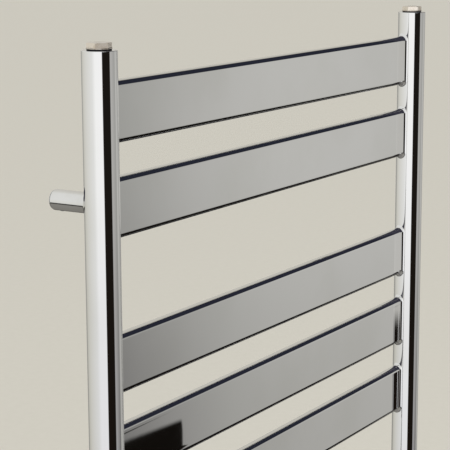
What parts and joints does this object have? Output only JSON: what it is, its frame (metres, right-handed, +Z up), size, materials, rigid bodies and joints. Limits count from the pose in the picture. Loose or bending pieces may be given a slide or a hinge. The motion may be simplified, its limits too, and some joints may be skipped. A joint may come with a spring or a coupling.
{
  "type": "towel warmer rack",
  "caption": "Wall-hung chrome towel warmer: round uprights with wide flat bars in spaced groups, hexagonal top plugs, round stand-offs and an electric element with a control head.",
  "frame": {"origin": "on the wall face, in the middle of the rectangle of wall fixing holes", "axes": "+X along the bars to the right as seen from the room, +Y into the wall, +Z up"},
  "size_m": [0.7052, 0.082, 1.0087],
  "materials": {
    "chrome_upright": "bright chrome plating on round steel tube",
    "chrome_bar": "bright chrome plating on flat steel tube",
    "chrome_bush": "bright chrome plating on a turned steel bush",
    "chrome_standoff": "bright chrome plating on turned steel",
    "nickel_plug": "nickel-plated brass, slightly warm",
    "nickel_element": "nickel-plated brass",
    "bare_brass": "bare turned brass",
    "black_rubber": "smooth black sealing rubber",
    "zinc_post": "as-cast zinc alloy",
    "steel_screw": "bright zinc-plated steel",
    "stainless_tube": "drawn stainless steel",
    "heater_ceramic": "unglazed magnesia ceramic",
    "chromed_shell": "chrome-plated moulding",
    "black_cap": "fine-textured black moulding",
    "black_dial": "satin black moulding",
    "black_button": "gloss black moulding",
    "black_gland": "black polyamide",
    "lamp_lens": "clear red light guide",
    "green_board": "green circuit board",
    "board_parts": "black component bodies"
  },
  "bodies": {
    "wall_brackets": {"wall_post_upper_left": "zinc_post", "wall_post_lower_left": "zinc_post", "wall_post_upper_right": "zinc_post", "wall_post_lower_right": "zinc_post"},
    "bleed_screw_body": {"bleed_screw": "bare_brass"},
    "dial": {"heat_dial": "black_dial", "dial_shaft": "steel_screw"},
    "button": {"power_button": "black_button"},
    "rack": {"upright_left": "chrome_upright", "end_bush_top_left": "chrome_bush", "end_bush_bottom_left": "chrome_bush", "sealing_ring_top_left": "black_rubber", "sealing_ring_bottom_left": "black_rubber", "standoff_upper_left": "chrome_standoff", "standoff_lower_left": "chrome_standoff", "upright_right": "chrome_upright", "end_bush_top_right": "chrome_bush", "end_bush_bottom_right": "chrome_bush", "sealing_ring_top_right": "black_rubber", "sealing_ring_bottom_right": "black_rubber", "standoff_upper_right": "chrome_standoff", "standoff_lower_right": "chrome_standoff", "flat_bar_1": "chrome_bar", "flat_bar_2": "chrome_bar", "flat_bar_3": "chrome_bar", "flat_bar_4": "chrome_bar", "flat_bar_5": "chrome_bar", "flat_bar_6": "chrome_bar", "flat_bar_7": "chrome_bar", "flat_bar_8": "chrome_bar", "plug_top_left": "nickel_plug", "vent_plug_top_right": "nickel_plug", "plug_bottom_left": "nickel_plug", "standoff_grub_screws": "steel_screw", "element_head": "nickel_element", "element_tube": "stainless_tube", "element_core": "heater_ceramic", "control_shell": "chromed_shell", "control_cap": "black_cap", "control_cap_screws": "steel_screw", "dial_sensor": "board_parts", "power_switch": "board_parts", "lamp_lens": "lamp_lens", "circuit_board": "green_board", "cable_gland": "black_gland", "cable_gland_nut": "black_gland"}
  },
  "joints": [
    {"name": "wall_distance", "type": "slide", "parent": "wall_brackets", "child": "rack", "axis": [0, -1, 0], "range_m": [0, 0.015]},
    {"name": "bleed_turn", "type": "hinge", "parent": "rack", "child": "bleed_screw_body", "pos_m": [0.33315, -0.055, 0.437], "axis": [0, 0, 1], "range_deg": [0, 360]},
    {"name": "heat_dial_turn", "type": "hinge", "parent": "rack", "child": "dial", "pos_m": [0.33315, -0.08, -0.50335], "axis": [0, 1, 0], "range_deg": [0, 270]},
    {"name": "power_button_press", "type": "slide", "parent": "rack", "child": "button", "axis": [0, 1, 0], "range_m": [0, 0.001], "stiffness_N_per_m": 800, "springref_m": -0.0005}
  ]
}
